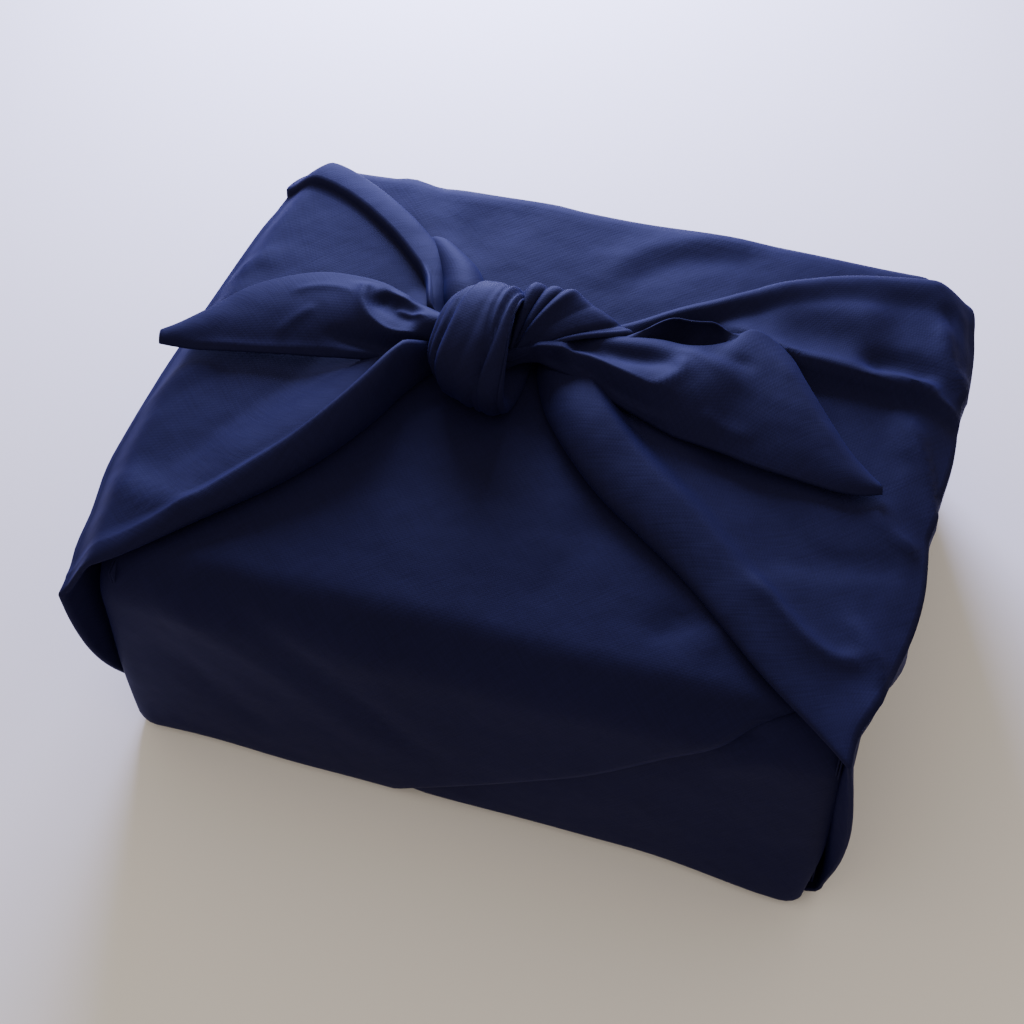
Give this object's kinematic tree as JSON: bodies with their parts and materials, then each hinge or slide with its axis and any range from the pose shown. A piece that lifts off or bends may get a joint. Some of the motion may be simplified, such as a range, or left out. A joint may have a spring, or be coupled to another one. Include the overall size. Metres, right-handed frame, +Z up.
{
  "type": "furoshiki wrap",
  "caption": "Square cotton wrapping cloth folded round a flat box, its side corners rolled over the top and tied in a square knot with two leaf-shaped ends.",
  "frame": {"origin": "middle of the wrapped box's flat underside", "axes": "+X along the long side, to the right seen from the front; +Y from the front to the back; +Z up"},
  "size_m": [0.3913, 0.2962, 0.1764],
  "materials": {
    "cotton": "matte plain-weave cotton, deep indigo navy"
  },
  "bodies": {
    "root": {"furoshiki_cloth": "cotton"}
  },
  "joints": []
}
